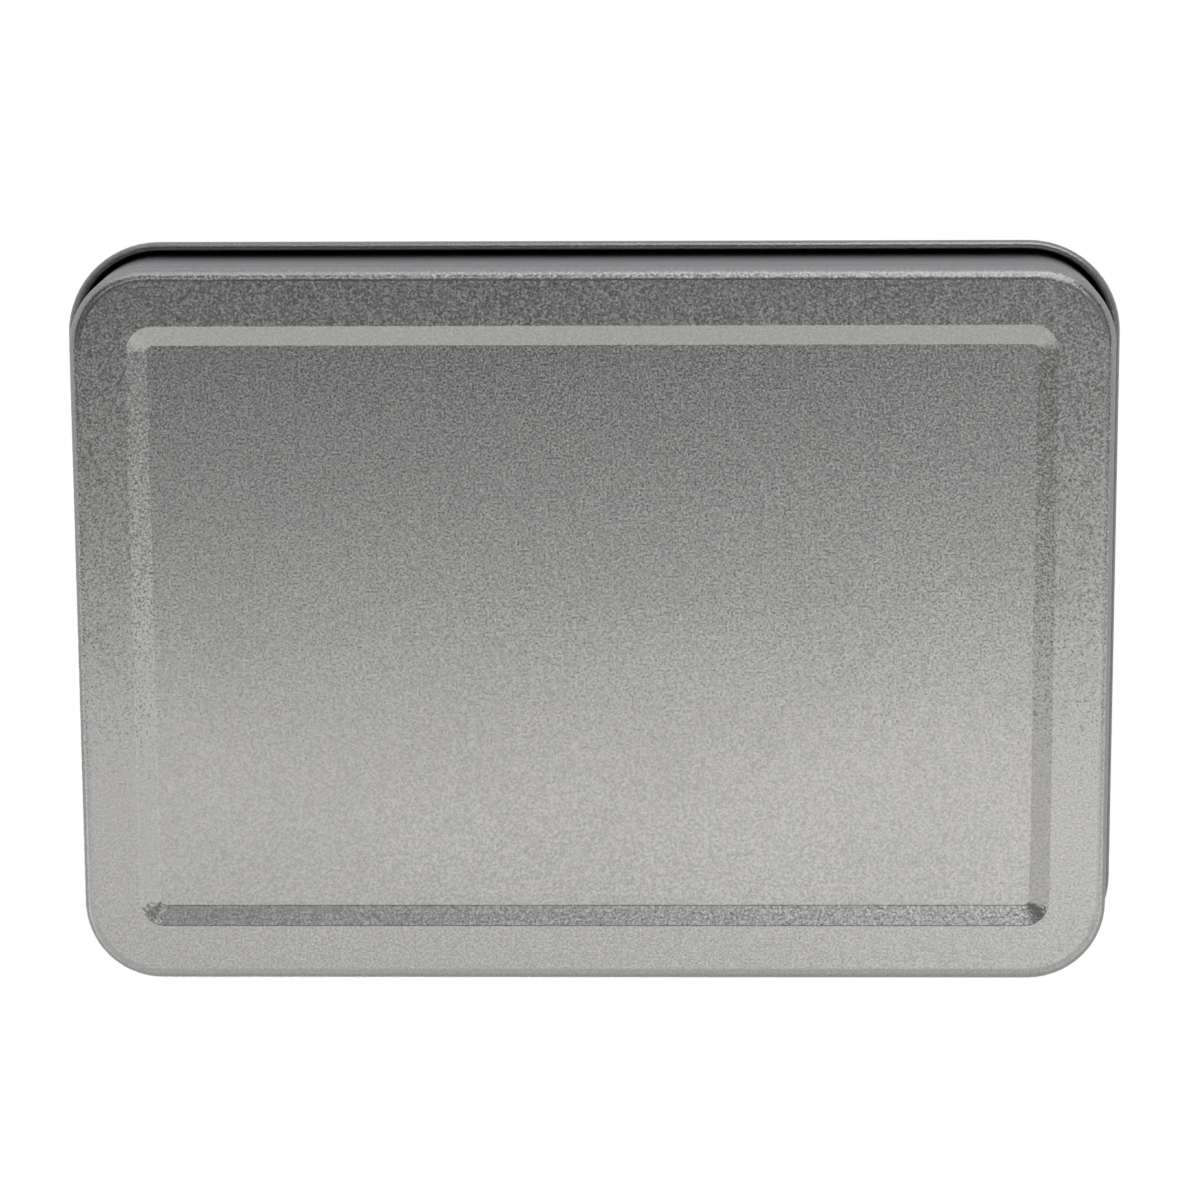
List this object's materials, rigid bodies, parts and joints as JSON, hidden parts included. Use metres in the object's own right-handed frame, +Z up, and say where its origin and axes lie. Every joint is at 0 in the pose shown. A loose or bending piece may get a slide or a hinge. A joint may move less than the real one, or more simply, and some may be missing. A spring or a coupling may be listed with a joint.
{
  "type": "hinged card game tin",
  "caption": "Flat rectangular frosted metal tin with round corners, a recessed panel in its base and a rolled-edge lid hinged on a wire at the back.",
  "frame": {"origin": "middle of the closed tin's outline, on the table that its base's border lies on", "axes": "+X along the tin's length, to the right as seen from the front; +Y to the back, where the hinge is; +Z up, from the base to the lid"},
  "size_m": [0.1952, 0.1386, 0.03],
  "materials": {
    "frosted_tinplate": "matt, fine sandy grain",
    "drawn_wire": "smooth drawn",
    "strap_steel": "satin"
  },
  "bodies": {
    "base": {"base_shell": "frosted_tinplate", "hinge_strap_left": "strap_steel", "hinge_strap_right": "strap_steel"},
    "lid": {"lid_shell": "frosted_tinplate", "hinge_wire": "drawn_wire"}
  },
  "joints": [
    {"name": "lid_hinge", "type": "hinge", "parent": "base", "child": "lid", "pos_m": [0, 0.06845, 0.02035], "axis": [-1, 0, 0], "range_deg": [0, 180]}
  ]
}
